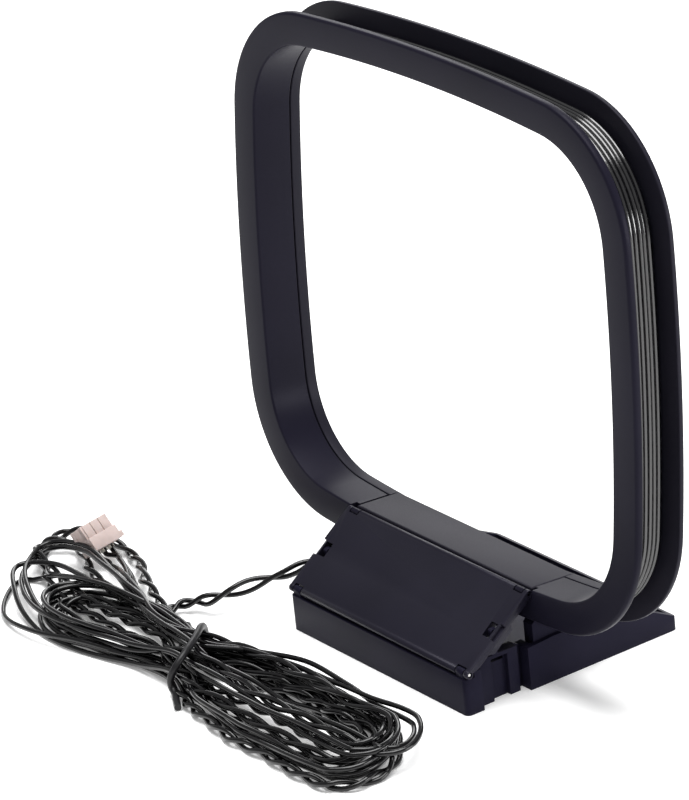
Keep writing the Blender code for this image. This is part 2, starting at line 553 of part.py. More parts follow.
# ---- Plug: a three-way crimp housing propped on its leads, mouth up
PLUG_AXIS = Vector((0.59, 0.16, -0.79)).normalized()
PLUG_ACROSS = Vector((-0.31, 0.95, -0.04))
PLUG_ACROSS = (PLUG_ACROSS - PLUG_ACROSS.dot(PLUG_AXIS) * PLUG_AXIS).normalized()
PLUG_FACE = PLUG_AXIS.cross(PLUG_ACROSS)
PLUG_CENTRE = Vector((-95.6, -39.8, 8.5)) * MM


def in_plug(along, across, out):
    """A point of the plug: along from its mouth side to its wire side, out of its face."""
    return PLUG_CENTRE + along * PLUG_AXIS + across * PLUG_ACROSS + out * PLUG_FACE


def plug_block(a0, a1, w0, w1, h0, h1):
    """A box in the plug's own directions; h = 0 is its upper face."""
    built = bmesh.new()
    corners = [built.verts.new(in_plug(a, w, h)) for a in (a0, a1) for w in (w0, w1) for h in (h0, h1)]
    for side in ((0, 1, 3, 2), (4, 6, 7, 5), (0, 4, 5, 1), (2, 3, 7, 6), (0, 2, 6, 4), (1, 5, 7, 3)):
        built.faces.new([corners[i] for i in side])
    return built


half_w = PLUG_WIDTH / 2
half_l = PLUG_LENGTH / 2
housing = keep(plug_block(-half_l, half_l, -half_w, half_w, -PLUG_THICKNESS, 0.0), "plug_housing", PLUG_CREAM)
for way in (-1, 0, 1):
    mid = way * PLUG_PITCH
    boolean(housing, plug_block(-half_l - MM, half_l + MM, mid - 0.85 * MM, mid + 0.85 * MM, -3.8 * MM, -2.0 * MM),
            "DIFFERENCE", f"cell_{way}")
    boolean(housing, plug_block(-half_l + 0.5 * MM, -0.2 * MM, mid - 1.05 * MM, mid + 1.05 * MM, -0.5 * MM, 1 * MM),
            "DIFFERENCE", f"recess_{way}")
boolean(housing, plug_block(half_l - 1.5 * MM, half_l - 0.1 * MM, half_w - 0.5 * MM, half_w + 1.1 * MM, -1.6 * MM, -0.2 * MM),
        "UNION", "side_lug")

# ---- Contacts and the three leads that go from them into the hank
core_ends = ((-87.6, -46.9, 2.0), (-83.4, -47.3, 2.6), (-78.0, -47.4, 2.2))
for number, (way, end) in enumerate(zip((-1, 0, 1), core_ends), 1):
    mid = way * PLUG_PITCH
    contact = plug_block(-half_l + 1.0 * MM, half_l - 0.1 * MM, mid - 0.5 * MM, mid + 0.5 * MM, -3.4 * MM, -2.4 * MM)
    keep(contact, f"crimp_contact_{number}", CONTACT_TIN)
    start = in_plug(half_l + 0.2 * MM, mid, -2.9 * MM)
    target = Vector(end) * MM
    bend_1 = start + PLUG_AXIS * 1.6 * MM
    bend_2 = start.lerp(target, 0.55)
    bend_2.z = 1.7 * MM
    tube(f"lead_core_{number}", smooth_path((start, bend_1, bend_2, target), 1.8 * MM), WIRE_DIAMETER / 2, CORE_BLACK)
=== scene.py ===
# %% [markdown]
# # A folding AM loop antenna
# The antenna stands on a table: a wound loop leans back a little on a folding stand, and its thin two-wire lead
# lies in front in a tied hank that ends in a small plug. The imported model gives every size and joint, so each
# cell below adds looks only: finer shapes, real wires and finishes. All lengths are in metres.

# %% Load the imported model
import math
import random

import bmesh
import bpy
from mathutils import Matrix, Vector, noise


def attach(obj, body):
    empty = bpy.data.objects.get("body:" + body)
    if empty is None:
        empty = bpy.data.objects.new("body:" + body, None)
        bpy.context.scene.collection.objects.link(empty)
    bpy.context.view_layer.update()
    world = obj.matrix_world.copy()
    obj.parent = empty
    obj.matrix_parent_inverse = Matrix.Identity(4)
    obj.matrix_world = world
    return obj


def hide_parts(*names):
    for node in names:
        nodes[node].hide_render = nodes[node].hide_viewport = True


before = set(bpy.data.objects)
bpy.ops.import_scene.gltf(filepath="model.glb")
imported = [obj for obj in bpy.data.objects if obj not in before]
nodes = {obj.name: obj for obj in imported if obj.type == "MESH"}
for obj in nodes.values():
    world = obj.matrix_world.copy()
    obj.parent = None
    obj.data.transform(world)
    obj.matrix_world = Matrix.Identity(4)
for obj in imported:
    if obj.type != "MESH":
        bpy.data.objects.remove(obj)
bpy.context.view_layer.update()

MM = 0.001
print("nodes:", ", ".join(sorted(nodes)))

# %% [markdown]
# ## The camera
# A product picture like this is taken from far away with a long lens, which keeps the loop's sides almost
# parallel. The camera is given as a place and a direction: how far round it stands, how far it looks down, and
# how much it is rolled. Three unit vectors then make its turn, which is easier to check than three angles.

# %% Camera
def direction(azimuth, elevation):
    """A unit vector that looks along +Y at azimuth 0, turned towards -X, and down by elevation."""
    flat = math.cos(elevation)
    return Vector((-math.sin(azimuth) * flat, math.cos(azimuth) * flat, -math.sin(elevation)))


AZIMUTH = math.radians(56.39)
ELEVATION = math.radians(23.03)
ROLL = math.radians(-6.19)
CAMERA_PLACE = (0.926, -0.6459, 0.5387)

look = direction(AZIMUTH, ELEVATION)
level_right = look.cross(Vector((0, 0, 1))).normalized()
level_up = level_right.cross(look)
right = math.cos(ROLL) * level_right + math.sin(ROLL) * level_up
up = -math.sin(ROLL) * level_right + math.cos(ROLL) * level_up

lens = bpy.data.cameras.new("camera")
lens.sensor_fit = "VERTICAL"
lens.sensor_height = 36.0
lens.lens = 248.3
lens.shift_x = -0.0035
lens.shift_y = 0.0034
lens.clip_end = 20.0
camera = bpy.data.objects.new("camera", lens)
turn = Matrix((right, up, -look)).transposed().to_4x4()
camera.matrix_world = Matrix.Translation(CAMERA_PLACE) @ turn
bpy.context.scene.collection.objects.link(camera)
bpy.context.scene.camera = camera
print("camera at", tuple(round(v, 3) for v in camera.location), "lens", lens.lens, "mm")

# %% [markdown]
# ## Helpers for finished meshes
# Each new piece starts as a bmesh. When it is done it becomes an object whose own place is the origin, so a
# pattern on object coordinates runs on from one piece to the next. Faces are shaded smooth, and edges sharper
# than a given angle stay crisp.

# %% Mesh helpers
def finished(built, name, material=None, crisp=35.0, merge=None):
    """Turn a bmesh into an object at the origin, with its normals outwards."""
    if merge:
        bmesh.ops.remove_doubles(built, verts=built.verts, dist=merge)
    bmesh.ops.recalc_face_normals(built, faces=built.faces)
    mesh = bpy.data.meshes.new(name)
    built.to_mesh(mesh)
    built.free()
    mesh.shade_smooth()
    mesh.set_sharp_from_angle(angle=math.radians(crisp))
    made = bpy.data.objects.new(name, mesh)
    bpy.context.scene.collection.objects.link(made)
    if material:
        mesh.materials.append(material)
    return made


def soften(made, width, segments=2, angle=30.0, flat=0.5):
    """Clean a node's loose triangles and round its sharp edges, as a mould does."""
    weld = made.modifiers.new("weld", "WELD")
    weld.merge_threshold = 0.00001
    merge = made.modifiers.new("flat_faces", "DECIMATE")
    merge.decimate_type = "DISSOLVE"
    merge.angle_limit = math.radians(flat)
    bevel = made.modifiers.new("soft_edges", "BEVEL")
    bevel.width = width
    bevel.segments = segments
    bevel.limit_method = "ANGLE"
    bevel.angle_limit = math.radians(angle)
    bevel.harden_normals = True
    for face in made.data.polygons:
        face.use_smooth = True
    made.data.set_sharp_from_angle(angle=math.radians(angle))


def cut(made, cutter):
    """Subtract one bmesh box from a finished piece and apply it at once."""
    other = finished(cutter, "cutter")
    step = made.modifiers.new("cut", "BOOLEAN")
    step.operation = "DIFFERENCE"
    step.solver = "EXACT"
    step.object = other
    graph = bpy.context.evaluated_depsgraph_get()
    result = bpy.data.meshes.new_from_object(made.evaluated_get(graph))
    made.modifiers.clear()
    made.data = result
    bpy.data.objects.remove(other)
    result.shade_smooth()
    result.set_sharp_from_angle(angle=math.radians(35))


# %% [markdown]
# ## Finishes
# Nothing on a real antenna is one flat colour. Moulded plastic has a very fine grain and is a little shinier
# where the tool was polished. Wire insulation is smoother, with a slight waviness that breaks up its highlight.
# Each finish below is a Principled shader with noise on its roughness and a small bump. The noise reads object
# coordinates, in metres, so its scale is the real one.

# %% Finish helpers
def finish(name, colour, roughness, metallic=0.0, mirror=0.5):
    """A new material and its Principled shader; mirror is how strongly its surface reflects."""
    made = bpy.data.materials.new(name)
    made.use_nodes = True
    made.diffuse_color = (*colour, 1.0)
    shader = made.node_tree.nodes["Principled BSDF"]
    shader.inputs["Base Color"].default_value = (*colour, 1.0)
    shader.inputs["Roughness"].default_value = roughness
    shader.inputs["Metallic"].default_value = metallic
    shader.inputs["Specular IOR Level"].default_value = mirror
    return made, shader


def grain(made, shader, size, height, spread, detail=3.0):
    """Fine noise of one size: it moves the roughness by spread each way and raises a bump of that height."""
    tree = made.node_tree
    place = tree.nodes.new("ShaderNodeTexCoord")
    speckle = tree.nodes.new("ShaderNodeTexNoise")
    speckle.inputs["Scale"].default_value = 1.0 / size
    speckle.inputs["Detail"].default_value = detail
    tree.links.new(place.outputs["Object"], speckle.inputs["Vector"])
    middle = shader.inputs["Roughness"].default_value
    shift = tree.nodes.new("ShaderNodeMapRange")
    shift.inputs["From Min"].default_value = 0.3
    shift.inputs["From Max"].default_value = 0.7
    shift.inputs["To Min"].default_value = middle - spread
    shift.inputs["To Max"].default_value = middle + spread
    tree.links.new(speckle.outputs["Fac"], shift.inputs["Value"])
    tree.links.new(shift.outputs["Result"], shader.inputs["Roughness"])
    bump = tree.nodes.new("ShaderNodeBump")
    bump.inputs["Distance"].default_value = height
    bump.inputs["Strength"].default_value = 0.35
    tree.links.new(speckle.outputs["Fac"], bump.inputs["Height"])
    tree.links.new(bump.outputs["Normal"], shader.inputs["Normal"])
    return speckle


def mottle(made, shader, light, dark, size):
    """A slow change of shade over the piece, as between areas of a moulding."""
    tree = made.node_tree
    place = tree.nodes.new("ShaderNodeTexCoord")
    clouds = tree.nodes.new("ShaderNodeTexNoise")
    clouds.inputs["Scale"].default_value = 1.0 / size
    clouds.inputs["Detail"].default_value = 2.0
    tree.links.new(place.outputs["Object"], clouds.inputs["Vector"])
    ramp = tree.nodes.new("ShaderNodeValToRGB")
    ramp.color_ramp.elements[0].position = 0.35
    ramp.color_ramp.elements[0].color = (*dark, 1.0)
    ramp.color_ramp.elements[1].position = 0.65
    ramp.color_ramp.elements[1].color = (*light, 1.0)
    tree.links.new(clouds.outputs["Fac"], ramp.inputs["Fac"])
    tree.links.new(ramp.outputs["Color"], shader.inputs["Base Color"])


# %% Plastics of the stand and the loop
BLUE_SHEEN = (0.86, 0.84, 1.0, 1.0)
PALER_SHEEN = (0.90, 0.88, 1.0, 1.0)

stand_plastic, shader = finish("stand_plastic", (0.0085, 0.0078, 0.0160), 0.42, mirror=0.05)
shader.inputs["Specular Tint"].default_value = BLUE_SHEEN
grain(stand_plastic, shader, 0.22 * MM, 0.010 * MM, 0.05)
mottle(stand_plastic, shader, (0.0095, 0.0087, 0.0185), (0.0076, 0.0070, 0.0150), 18 * MM)

panel_plastic, shader = finish("panel_plastic", (0.0085, 0.0078, 0.0145), 0.34, mirror=0.19)
shader.inputs["Specular Tint"].default_value = BLUE_SHEEN
grain(panel_plastic, shader, 0.22 * MM, 0.008 * MM, 0.04)
mottle(panel_plastic, shader, (0.0095, 0.0087, 0.0160), (0.0076, 0.0070, 0.0130), 24 * MM)

loop_plastic, shader = finish("loop_plastic", (0.0085, 0.0078, 0.0145), 0.36, mirror=0.06)
shader.inputs["Specular Tint"].default_value = BLUE_SHEEN
grain(loop_plastic, shader, 0.20 * MM, 0.008 * MM, 0.05)
mottle(loop_plastic, shader, (0.0095, 0.0087, 0.0160), (0.0076, 0.0070, 0.0130), 30 * MM)

rear_plastic, shader = finish("rear_shell_plastic", (0.0130, 0.0122, 0.0185), 0.42, mirror=0.09)
shader.inputs["Specular Tint"].default_value = PALER_SHEEN
grain(rear_plastic, shader, 0.20 * MM, 0.008 * MM, 0.05)
mottle(rear_plastic, shader, (0.0142, 0.0133, 0.0200), (0.0115, 0.0108, 0.0165), 30 * MM)
print("plastics: stand, panel, loop, rear shell")

# %% [markdown]
# Wire insulation is soft PVC: nearly black, glossy, and slightly uneven from the die it was drawn through. The
# tie's coating is duller. The plug is natural nylon, which lets a little light into its surface, and the
# contacts are tinned brass.

# %% Wires, tie, plug and metals
winding_gloss, shader = finish("winding_insulation", (0.0030, 0.0029, 0.0038), 0.16, mirror=1.0)
grain(winding_gloss, shader, 1.3 * MM, 0.05 * MM, 0.08)

wire_gloss, shader = finish("wire_insulation", (0.0024, 0.0023, 0.0028), 0.13, mirror=0.42)
grain(wire_gloss, shader, 1.4 * MM, 0.03 * MM, 0.05, detail=2.0)

tie_coat, shader = finish("tie_coating", (0.0075, 0.0072, 0.0085), 0.40, mirror=0.3)
grain(tie_coat, shader, 0.5 * MM, 0.02 * MM, 0.06)

plug_nylon, shader = finish("plug_nylon", (0.50, 0.405, 0.38), 0.42)
grain(plug_nylon, shader, 0.3 * MM, 0.010 * MM, 0.05)
mottle(plug_nylon, shader, (0.53, 0.43, 0.405), (0.47, 0.38, 0.355), 3 * MM)
shader.inputs["Subsurface Weight"].default_value = 0.15
shader.inputs["Subsurface Radius"].default_value = (1.0, 0.7, 0.5)
shader.inputs["Subsurface Scale"].default_value = 0.0006

tinned, shader = finish("tinned_brass", (0.75, 0.72, 0.66), 0.28, 1.0)
grain(tinned, shader, 0.25 * MM, 0.01 * MM, 0.08)

pin_steel, shader = finish("pin_steel", (0.58, 0.57, 0.56), 0.30, 1.0)
grain(pin_steel, shader, 0.3 * MM, 0.01 * MM, 0.08)
print("wires, tie, plug and metals")


# %% [markdown]
# ## The loop's outline
# The loop is a bobbin: a rounded square whose sides bow outwards slightly. Each side is an arc of a very large
# circle, and each corner an arc of a small one that meets both sides without a kink. The same function gives
# every ring of the loop: level 0 is the flange's outer edge and level 1 the edge of the opening.

# %% Outline function
FRONT_OF_TRAY = -29.7 * MM
PANEL_RUN = 19.5   # how far the slanted panel goes back, in mm
PANEL_RISE = 14.5  # and how far it goes up
RIDGE = Vector((0.0, FRONT_OF_TRAY + PANEL_RUN * MM, 24.6 * MM))
RIDGE_TO_CENTRE = 53.6 * MM
LEAN = math.radians(3.4)
LOOP_UP = Vector((0.0, math.sin(LEAN), math.cos(LEAN)))
LOOP_BACK = Vector((0.0, math.cos(LEAN), -math.sin(LEAN)))
LOOP_CENTRE = RIDGE + RIDGE_TO_CENTRE * LOOP_UP
LEVEL_WIDTH = 8.1 * MM  # of the flange's side, from its outer edge to the opening


def arc(centre, radius, start, end, steps):
    """Points along an arc, the last one left out."""
    return [
        (centre[0] + radius * math.cos(start + (end - start) * i / steps),
         centre[1] + radius * math.sin(start + (end - start) * i / steps))
        for i in range(steps)
    ]


def rounded_square(half_width, half_height, bow_side, bow_top, corner, steps=(12, 22, 14)):
    """One closed outline, anticlockwise from the middle of the right side."""
    side_radius = (half_height ** 2 + bow_side ** 2) / (2 * bow_side)
    top_radius = (half_width ** 2 + bow_top ** 2) / (2 * bow_top)
    side_centre = Vector((half_width - side_radius, 0.0))
    top_centre = Vector((0.0, half_height - top_radius))
    reach_side = side_radius - corner
    reach_top = top_radius - corner
    apart = top_centre - side_centre
    along = (reach_side ** 2 - reach_top ** 2 + apart.length ** 2) / (2 * apart.length)
    away = math.sqrt(reach_side ** 2 - along ** 2)
    unit = apart.normalized()
    across = away * Vector((unit.y, -unit.x))
    foot = side_centre + along * unit
    centre = max((foot + across, foot - across), key=sum)
    turn_side = math.atan2(centre.y - side_centre.y, centre.x - side_centre.x)
    turn_top = math.atan2(centre.y - top_centre.y, centre.x - top_centre.x)
    quarter = arc(side_centre, side_radius, 0.0, turn_side, steps[0])
    quarter += arc(centre, corner, turn_side, turn_top, steps[1])
    quarter += arc(top_centre, top_radius, turn_top, math.pi / 2, steps[2])
    quarter.append((0.0, half_height))
    upper = quarter + [(-x, z) for x, z in reversed(quarter[:-1])]
    return upper + [(x, -z) for x, z in reversed(upper[1:-1])]


def loop_outline(level):
    """The loop's outline at a level of its flange."""
    outer = (73.0 * MM, 62.5 * MM, 4.4 * MM, 4.4 * MM, 29.6 * MM)
    inner = (64.9 * MM, 55.2 * MM, 3.5 * MM, 4.1 * MM, 22.2 * MM)
    return rounded_square(*[a + (b - a) * level for a, b in zip(outer, inner)])


def on_loop(x, rise, back):
    """A point of the loop: rise from its middle, back from its front face."""
    return LOOP_CENTRE + Vector((x, 0.0, 0.0)) + rise * LOOP_UP + back * LOOP_BACK


print("outline points:", len(loop_outline(0.0)))

# %% [markdown]
# ## The front shell
# The wide front flange and the web under the winding are one moulding. It could be a curve with a bevel
# profile, but the flange is wider at the sides than at the top, so a swept profile would not fit. Instead one
# edge loop is drawn and extruded from level to level round the cross-section, and bridged to close it. The
# edge of the flange is rounded by a few extra levels, which catch the light as a thin line.

# %% Ring builder
def ring(section):
    """Extrude one loop of edges through every (level, back) of the section and close it."""
    built = bmesh.new()
    level, back = section[0]
    verts = [built.verts.new(on_loop(x, z, back)) for x, z in loop_outline(level)]
    first = [built.edges.new((a, b)) for a, b in zip(verts, verts[1:] + verts[:1])]
    edges = first
    row = verts
    for level, back in section[1:]:
        made = bmesh.ops.extrude_edge_only(built, edges=edges)["geom"]
        fresh = {v for v in made if isinstance(v, bmesh.types.BMVert)}
        edges = [e for e in made if isinstance(e, bmesh.types.BMEdge) and fresh.issuperset(e.verts)]
        row = [next(e.other_vert(v) for e in v.link_edges if e.other_vert(v) in fresh) for v in row]
        for vert, (x, z) in zip(row, loop_outline(level)):
            vert.co = on_loop(x, z, back)
    bmesh.ops.bridge_loops(built, edges=first + edges)
    return built


def rounded_section(corners, steps=4):
    """Round each (level, back, radius) corner of a section."""
    made = []
    for i, (level, back, radius) in enumerate(corners):
        here = Vector((level * LEVEL_WIDTH, back))
        if not radius:
            made.append((level, back))
            continue
        last = corners[i - 1]
        following = corners[(i + 1) % len(corners)]
        before = Vector((last[0] * LEVEL_WIDTH, last[1])) - here
        after = Vector((following[0] * LEVEL_WIDTH, following[1])) - here
        start = here + before.normalized() * radius
        end = here + after.normalized() * radius
        for k in range(steps + 1):
            f = k / steps
            point = start * (1 - f) ** 2 + here * 2 * f * (1 - f) + end * f ** 2
            made.append((point.x / LEVEL_WIDTH, point.y))
    return made


LOOP_DEPTH = 13.2 * MM
FRONT_FLANGE = 2.0 * MM
REAR_FLANGE = 1.3 * MM
WEB_LEVEL = 0.755
WEB_END = LOOP_DEPTH - 3.1 * MM

front_section = rounded_section([
    (0.0, 0.0, 0.8 * MM), (0.0, FRONT_FLANGE, 0.6 * MM), (WEB_LEVEL, FRONT_FLANGE, 0.0),
    (WEB_LEVEL, WEB_END, 0.0), (1.0, WEB_END, 0.25 * MM), (1.0, 0.0, 0.5 * MM),
])


# %% Front shell
def loop_box(x0, x1, rise0, rise1, back0, back1):
    """A box along the loop's own directions; rise is measured from the ridge."""
    built = bmesh.new()
    bmesh.ops.create_cube(built, size=1.0)
    for vert in built.verts:
        x = x0 if vert.co.x < 0 else x1
        back = back0 if vert.co.y < 0 else back1
        rise = rise0 if vert.co.z < 0 else rise1
        vert.co = on_loop(x, rise - RIDGE_TO_CENTRE, back)
    return built


front_shell = finished(ring(front_section), "front_shell", loop_plastic)
cut(front_shell, loop_box(-34.0 * MM, 34.0 * MM, -2.75 * MM, 6 * MM, -1 * MM, 2.1 * MM))
cut(front_shell, loop_box(-32.9 * MM, 32.9 * MM, -5.5 * MM, 6 * MM, 2.05 * MM, 14 * MM))
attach(front_shell, "loop")
print("front shell:", len(front_shell.data.polygons), "faces")

# %% [markdown]
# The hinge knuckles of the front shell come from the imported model, whose shell is hidden. A short arm and a
# round eye stand on each side; a cylinder for the eye and a small block for the arm are enough, because both
# stay in the shade under the ridge.

# %% Ridge knuckles
PANEL_SLOPE = Vector((0.0, PANEL_RUN, PANEL_RISE)).normalized()
PANEL_OUT = Vector((0.0, -PANEL_RISE, PANEL_RUN)).normalized()
PANEL_FOOT = Vector((0.0, FRONT_OF_TRAY, 10.1 * MM))
PANEL_LENGTH = math.hypot(PANEL_RUN, PANEL_RISE) * MM
RIDGE_AXIS = PANEL_FOOT + (PANEL_LENGTH - 1.1 * MM) * PANEL_SLOPE - 0.9 * MM * PANEL_OUT


def bar(built, centre, radius, length, sides=28):
    """A round bar along X."""
    turn = Matrix.Translation(centre) @ Matrix.Rotation(math.pi / 2, 4, "Y")
    bmesh.ops.create_cone(
        built, cap_ends=True, segments=sides, radius1=radius, radius2=radius, depth=length, matrix=turn,
    )


def edge_block(built, x0, x1, y0, y1, z0, z1):
    """A plain box."""
    size = Matrix.Diagonal((x1 - x0, y1 - y0, z1 - z0, 1.0))
    middle = Matrix.Translation(((x0 + x1) / 2, (y0 + y1) / 2, (z0 + z1) / 2))
    bmesh.ops.create_cube(built, size=1.0, matrix=middle @ size)


KNUCKLE_WIDTH = 2.6 * MM
built = bmesh.new()
for side in (-1, 1):
    x = side * 30.7 * MM
    bar(built, RIDGE_AXIS + Vector((x, 0, 0)), 0.9 * MM, KNUCKLE_WIDTH)
    edge_block(
        built, x - KNUCKLE_WIDTH / 2, x + KNUCKLE_WIDTH / 2,
        RIDGE_AXIS.y + 0.25 * MM, RIDGE_AXIS.y + 0.95 * MM, RIDGE_AXIS.z - 2.4 * MM, RIDGE_AXIS.z + 0.1 * MM,
    )
ridge_knuckles = finished(built, "ridge_knuckles", loop_plastic)
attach(ridge_knuckles, "loop")
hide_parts("loop_front_shell")
print("ridge knuckles: 2")

# %% [markdown]
# ## The rear shell and its saddle
# The thin rear flange has a lip that reaches into the opening and nearly meets the web, which leaves a fine dark
# line all round. Over the stand, the lip widens into a flat tongue that covers the joint of winding and lead.
# It is made as a box that is bevelled on its upper edges and lies on the same directions as the loop.

# %% Rear shell
flange = LOOP_DEPTH - REAR_FLANGE
lip = WEB_END + 0.3 * MM
rear_section = rounded_section([
    (0.0, flange, 0.3 * MM), (0.0, LOOP_DEPTH, 0.6 * MM), (1.0, LOOP_DEPTH, 0.5 * MM),
    (1.0, lip, 0.25 * MM), (0.8, lip, 0.0), (0.8, flange, 0.0),
])
rear_shell = finished(ring(rear_section), "rear_shell", rear_plastic)
cut(rear_shell, loop_box(-32.62 * MM, 32.62 * MM, -3.0 * MM, 6 * MM, 9 * MM, 12.4 * MM))
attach(rear_shell, "loop")
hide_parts("loop_rear_shell")

built = loop_box(-32.6 * MM, 32.6 * MM, -2.25 * MM, -0.55 * MM, 1.1 * MM, 13.0 * MM)
saddle_top = on_loop(0, -0.55 * MM - RIDGE_TO_CENTRE, 0)
upper = [v for v in built.verts if (v.co - saddle_top).dot(LOOP_UP) > -0.5 * MM]
top_edges = [e for e in built.edges if all(v in upper for v in e.verts)]
bmesh.ops.bevel(
    built, geom=top_edges, offset=0.45 * MM, segments=4, profile=0.5, affect="EDGES", material=-1,
)
saddle = finished(built, "saddle_tongue", rear_plastic, crisp=50)
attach(saddle, "loop")
print("rear shell:", len(rear_shell.data.polygons), "faces, saddle:", len(saddle.data.polygons))

# %% [markdown]
# ## The winding
# Seven turns of insulated wire lie side by side on the web in one layer. They are one wire, so they are made as
# one long helix that follows the loop's outline and steps one wire's width back on each turn, and whose two
# ends drop through the saddle to the lead. A curve with a round bevel gives the wire its thickness.

# %% Winding
def wire_mesh(name, strands, radius, material, sides=2):
    """Round wires along lists of close points, as one mesh."""
    joined = bmesh.new()
    for strand in strands:
        curve = bpy.data.curves.new(name, "CURVE")
        curve.dimensions = "3D"
        curve.bevel_depth = radius
        curve.bevel_resolution = sides
        curve.use_fill_caps = True
        spline = curve.splines.new("POLY")
        spline.points.add(len(strand) - 1)
        for target, point in zip(spline.points, strand):
            target.co = (*point, 1.0)
        guide = bpy.data.objects.new(name, curve)
        bpy.context.scene.collection.objects.link(guide)
        graph = bpy.context.evaluated_depsgraph_get()
        joined.from_mesh(bpy.data.meshes.new_from_object(guide.evaluated_get(graph)))
        bpy.data.objects.remove(guide)
    return finished(joined, name, material, crisp=60, merge=0.000002)


TURNS = 7
WIRE_RADIUS = 0.66 * MM
OFF_THE_WEB = 0.3 * MM
outline = loop_outline(WEB_LEVEL - (OFF_THE_WEB + WIRE_RADIUS) / LEVEL_WIDTH)
around = [Vector(p) for p in outline]
lowest = len(around) * 3 // 4
around_bottom = around[lowest:] + around[:lowest]
CLEAR = 0.1 * MM
start_back = FRONT_FLANGE + WIRE_RADIUS + CLEAR
pitch = (LOOP_DEPTH - REAR_FLANGE - FRONT_FLANGE - 2 * WIRE_RADIUS - 2 * CLEAR) / TURNS
random.seed(4)
helix = []
for turn in range(TURNS):
    lift = [random.uniform(-0.12, 0.12) * MM for _ in range(9)]
    for i, point in enumerate(around_bottom):
        part = i / len(around_bottom)
        stretch = int(part * 8)
        f = part * 8 % 1
        wander = lift[stretch] * (1 - f) + lift[(stretch + 1) % 8] * f
        back = start_back + pitch * (turn + part) + wander * math.sin(math.pi * part)
        helix.append(on_loop(point.x, point.y, back))
drop = [helix[0] - Vector((0, 0, 2.5 * MM)), helix[0] - Vector((0, 0, 1.0 * MM))]
last = [helix[-1] - Vector((0, 0, 1.0 * MM)), helix[-1] - Vector((0, 0, 2.5 * MM))]
winding = wire_mesh("winding_turns", [drop + helix + last], WIRE_RADIUS, winding_gloss)
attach(winding, "loop")
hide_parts("loop_winding", "winding_end_1", "winding_end_2")
length = sum((b - a).length for a, b in zip(helix, helix[1:]))
print(f"winding: {TURNS} turns, {length:.2f} m of wire, {len(winding.data.polygons)} faces")

# %% [markdown]
# ## The stand
# The tray and the slanted panel are plain mouldings with flat faces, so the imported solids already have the
# right shape. They keep their meshes and get two things a mould gives: slightly rounded edges, from a Bevel
# modifier on merged faces, and the plastic's finish.

# %% Tray, panel and hinge pins
def repaint(name, material):
    """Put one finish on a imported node."""
    mesh = nodes[name].data
    if not mesh.materials:
        mesh.materials.append(material)
    for i in range(len(mesh.materials)):
        mesh.materials[i] = material


repaint("base_tray", stand_plastic)
repaint("front_panel", panel_plastic)
repaint("front_hinge_pin", pin_steel)
repaint("ridge_hinge_pin", pin_steel)
soften(nodes["base_tray"], 0.18 * MM)
soften(nodes["front_panel"], 0.18 * MM)
print("stand: tray, panel and two pins")

# %% [markdown]
# ## The lead
# The lead is a pair of thin wires twisted loosely. It leaves the stand over the tray's left wall, drops to the
# table, and is wound into a flat hank pinched by a tie. The pair is described by its centre line: listed
# points, each with the length of a twist there and how far the wires stand from the middle. A smooth curve
# through them is walked in small steps, and the two wires are laid round it.

# %% Smooth curve through listed points
def smooth(points, step):
    """Walk a Catmull-Rom curve through points of any number of values; the first three are a place."""
    ends = [[2 * a - b for a, b in zip(points[0], points[1])]] + [list(p) for p in points]
    ends.append([2 * a - b for a, b in zip(points[-1], points[-2])])
    dense = []
    for i in range(1, len(ends) - 2):
        p0, p1, p2, p3 = ends[i - 1:i + 3]
        pieces = max(4, int(math.dist(p1[:3], p2[:3]) / (step * 0.4)))
        for k in range(pieces):
            f = k / pieces
            dense.append([
                0.5 * (2 * b + (c - a) * f
                       + (2 * a - 5 * b + 4 * c - d) * f * f
                       + (3 * b - a - 3 * c + d) * f ** 3)
                for a, b, c, d in zip(p0, p1, p2, p3)
            ])
    dense.append(list(points[-1]))
    made = [dense[0]]
    for value in dense[1:]:
        if math.dist(value[:3], made[-1][:3]) >= step:
            made.append(value)
    made.append(dense[-1])
    return made


# %% [markdown]
# Each lap of the hank runs to the right end and back, then to the left end and back. The right end is a long
# round loop. On the left four laps turn early, two wide ones with plain wires and a twisted one spread out
# over the table, one goes behind the plug, and the last ends in the wires at the plug. At the tie all runs lie
# in three rows, so every lap is given its two places there.

# %% Laps of the hank
TIGHT = 16.0   # length of a twist in mm where the pair is twisted firmly
LOOSE = 25.0   # length of a twist where it has opened
PLAIN = 90.0   # nearly parallel wires


def right_end(back, front, end, level, twist, gap, tie):
    """The right loop of a lap: its runs lie at the y of back and front, and it turns round before x is end."""
    half = (back - front) / 2
    centre = (end - min(half * 1.15, 14.0), (back + front) / 2)
    halfway = 0.5 * (centre[0] + 4)
    spread = [(-21, 0.45), (-9, 0.85)]
    away = [(x, tie[0] + (back - tie[0]) * share) for x, share in spread] + [(4, back), (halfway, back - 0.4)]
    home = [(halfway, front + 0.2), (4, front)]
    home += [(x, tie[1] + (front - tie[1]) * share) for x, share in reversed(spread)]
    turn = []
    for angle in (82, 56, 28, 0, -28, -56, -80):
        rise = half * math.sin(math.radians(angle))
        reach = (end - centre[0]) * math.cos(math.radians(angle))
        turn.append((centre[0] - 1.0 + reach - 0.40 * rise, centre[1] + rise))
    return [(x, y, level, twist, gap) for x, y in away + turn + home]


